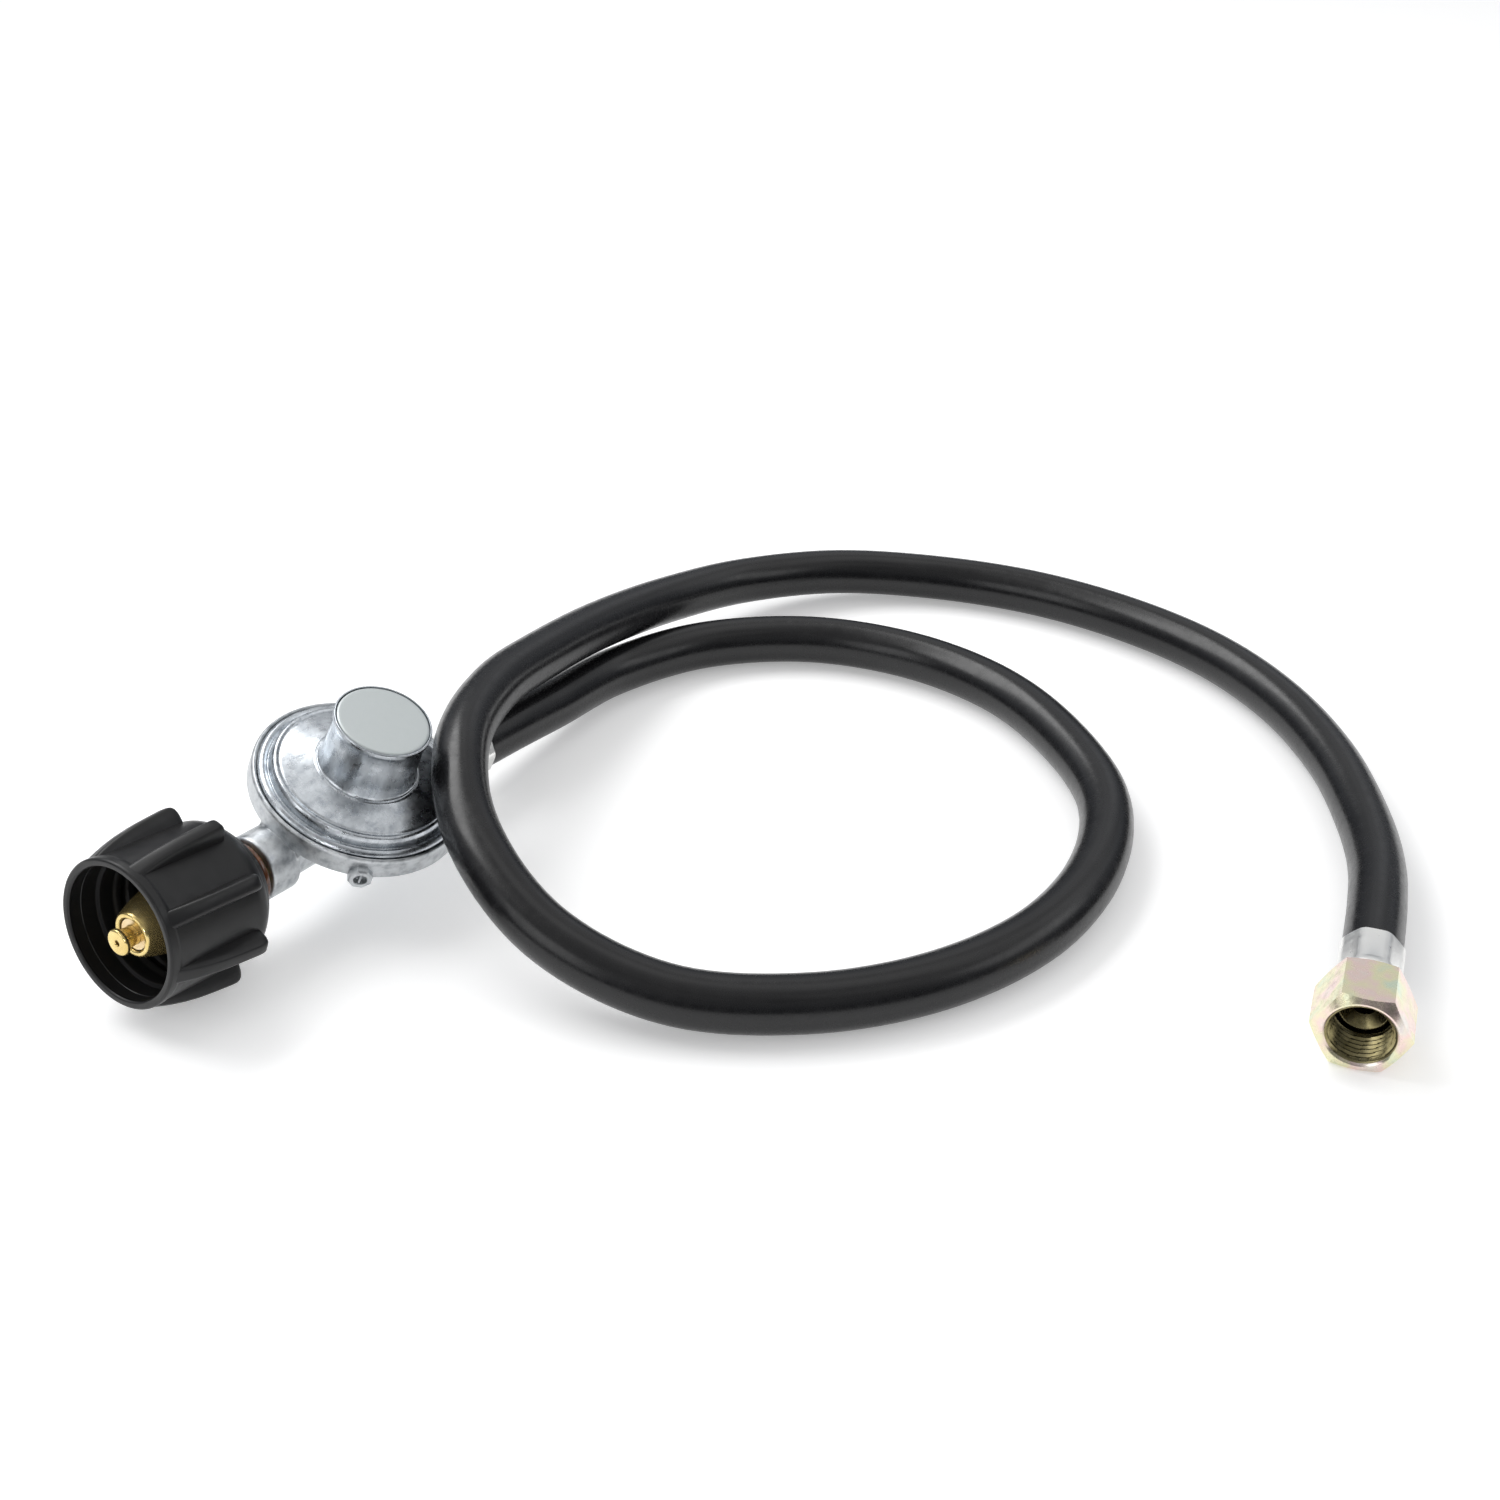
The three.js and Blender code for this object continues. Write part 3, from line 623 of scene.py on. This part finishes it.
# ---------- flare fitting: its mouth is at 0, and it lies behind it, at negative places ----------
HEX_APOTHEM = 11.1
HEX_CIRCLE = 9.85
HEX_LENGTH = 18.5
CHAMFER = math.tan(rad(30))
FLARE_BACK = [(HEX_CIRCLE, -18.5), (5.8, -18.5), (5.8, -16.0), (7.6, -14.2), (7.6, -11.2)]
FLARE_LIP = [(8.8, -0.6), (9.3, -0.05), (9.4, 0.0)]
FLARE_BORE = 8.75
FLARE_THREAD_DEPTH = 1.1
FLARE_PITCH = 1.7
FLARE_THREAD_ROWS = 84


def flare_nut():
    """A hexagon with 30 degree chamfers at both ends and a helical thread in its bore."""
    turns = around(192)
    hexagon = [HEX_APOTHEM / math.cos(turn % (TURN / 6) - TURN / 12) for turn in turns]

    def chamfered(share, flip, back):
        row = []
        for size, turn in zip(hexagon, turns):
            grown = size - HEX_CIRCLE
            row.append((HEX_CIRCLE + grown * share, flip * grown * CHAMFER * share - back, turn))
        return row

    rows = [circle(HEX_CIRCLE, 0.0, turns)]
    rows += [chamfered(share, -1, 0.0) for share in (0.04, 1.0)]
    rows += [chamfered(share, 1, HEX_LENGTH) for share in (1.0, 0.04)]
    rows += [circle(radius, x, turns) for radius, x in FLARE_BACK]
    for k in range(FLARE_THREAD_ROWS + 1):
        x = -11.0 + k * (11.0 - 0.7) / FLARE_THREAD_ROWS
        fade = clamp((-0.5 - x) / 0.8)
        row = []
        for turn in turns:
            wave = abs((x / FLARE_PITCH + turn / TURN) % 1.0 - 0.5) * 2.0
            row.append((FLARE_BORE - FLARE_THREAD_DEPTH * wave * fade, x, turn))
        rows.append(row)
    rows += [circle(radius, x, turns) for radius, x in FLARE_LIP]
    made = loft("swivel_nut", rows, yellow, FIT, ring=True, sharp=24)
    # The bore takes the darker copy of the brass: painted shade inside the nut.
    inside(made, brass_painted_shade, 0, 9.1, -0.4)
    # The thread roots take the near-black metal: painted shade.
    return inside(made, painted_root_shade, 8.28, 9.0, -0.9)


STEM = [
    (3.3, -34.5), (4.6, -34.5), (4.7, -20.8), (7.4, -20.8, 0.2), (7.4, -19.1, 0.2), (5.4, -19.1),
    (5.4, -16.0), (7.0, -14.1, 0.2), (7.0, -12.0, 0.2), (6.4, -11.4, 0.2), (6.1, -11.4, 0.2),
    (3.3, -13.9, 0.2)]
swivel = put(flare_nut(), "swivel_nut", "yellow_zinc", "flare_nut")
# The stem sits inside the fitting and takes the darker brass: painted shade.
stem = turned("flare_stem_brass", STEM, brass_painted_shade, FIT, "X", 80)
put(stem, "regulator", "brass", "flare_stem")

# ---------- pieces kept from the CAD model ----------
KEPT = {
    "adjusting_screw": steel, "adjusting_spring": steel, "diaphragm": seal, "diaphragm_plate": steel,
    "diaphragm_stem": brass, "valve_lever": steel, "lever_pin": steel, "seat_carrier": brass,
    "seat_disc": seal, "inlet_orifice": brass, "probe_guide": brass, "probe_spring": steel,
    "outlet_stem": brass}
for name, mat in KEPT.items():
    for material_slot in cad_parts[name].material_slots:
        material_slot.material = mat

# ---------- floor ----------
FLOOR_SIZE = 6
FLOOR_DROP = 0.0002
floor_mesh = bmesh.new()
bmesh.ops.create_grid(floor_mesh, x_segments=1, y_segments=1, size=FLOOR_SIZE)
floor_data = bpy.data.meshes.new("floor")
floor_mesh.to_mesh(floor_data)
floor_mesh.free()
floor = bpy.data.objects.new("floor", floor_data)
bpy.context.collection.objects.link(floor)
floor.location.z = -FLOOR_DROP
floor_data.materials.append(material(
    "floor_white", (0.93, 0.93, 0.93), 0.7, 0.0, Specular_IOR_Level=0.2,
    Emission_Color=(1, 1, 1, 1), Emission_Strength=0.32))

# ---------- room: what the metal reflects, dark low down and in front, and bright above and behind ----------
world = bpy.data.worlds.new("studio")
bpy.context.scene.world = world
world.use_nodes = True
tree = world.node_tree
room = tree.nodes["Background"]
where = tree.nodes.new("ShaderNodeTexCoord")
split = tree.nodes.new("ShaderNodeSeparateXYZ")
tree.links.new(where.outputs["Generated"], split.inputs["Vector"])
grade = ramp(world, split.outputs["Z"], [
    (0.06, (0.05, 0.055, 0.065)), (0.3, (0.33, 0.35, 0.38)), (0.56, (0.92, 0.93, 0.95)),
    (0.8, (1.0, 1.0, 1.0))])
clouds = tree.nodes.new("ShaderNodeTexNoise")
clouds.inputs["Scale"].default_value = 2.6
clouds.inputs["Detail"].default_value = 1.0
tree.links.new(where.outputs["Generated"], clouds.inputs["Vector"])
uneven = spread(world, clouds.outputs["Fac"], 0.6, 1.15, 0.42, 0.56)
facing = tree.nodes.new("ShaderNodeVectorMath")
facing.operation = "DOT_PRODUCT"
facing.inputs[1].default_value = ahead
tree.links.new(where.outputs["Generated"], facing.inputs[0])
depth = spread(world, facing.outputs["Value"], 0.32, 1.0, -0.75, 0.25)
level = tree.nodes.new("ShaderNodeMath")
level.operation = "MULTIPLY"
tree.links.new(uneven, level.inputs[0])
tree.links.new(depth, level.inputs[1])
tree.links.new(grade, room.inputs["Color"])
tree.links.new(level.outputs["Value"], room.inputs["Strength"])

# The room itself isn't seen: past the floor's edge there is a plain pale background.
plain = tree.nodes.new("ShaderNodeBackground")
plain.inputs["Color"].default_value = (0.95, 0.95, 0.95, 1)
ray = tree.nodes.new("ShaderNodeLightPath")
choose = tree.nodes.new("ShaderNodeMixShader")
tree.links.new(ray.outputs["Is Camera Ray"], choose.inputs["Fac"])
tree.links.new(room.outputs["Background"], choose.inputs[1])
tree.links.new(plain.outputs["Background"], choose.inputs[2])
tree.links.new(choose.outputs["Shader"], tree.nodes["World Output"].inputs["Surface"])


# ---------- lights ----------
def lamp(name, kind, at, aim, power):
    data = bpy.data.lights.new(name, kind)
    data.energy = power
    made = bpy.data.objects.new(name, data)
    bpy.context.collection.objects.link(made)
    made.location = at
    made.rotation_mode = "QUATERNION"
    made.rotation_quaternion = (Vector(aim) - Vector(at)).to_track_quat("-Z", "Y")
    return data


def softbox(name, at, size, power):
    data = lamp(name, "AREA", at, (0.09, -0.09, 0.0), power)
    data.shape = "RECTANGLE"
    data.size = size[0]
    data.size_y = size[1]


softbox("key", (0.15, 0.85, 1.15), (1.5, 0.6), 12)
softbox("side", (-1.1, 0.25, 0.6), (0.7, 0.7), 2.4)
softbox("fill", (0.7, -1.2, 0.8), (1.0, 0.5), 1.8)
nut_spot = lamp("nut_spot", "SPOT", (-0.40, -0.20, 0.16), NUT_AT, 4.5)
nut_spot.spot_size = rad(10)
nut_spot.spot_blend = 0.6
nut_spot.shadow_soft_size = 0.06
bpy.context.scene.view_settings.view_transform = "Standard"
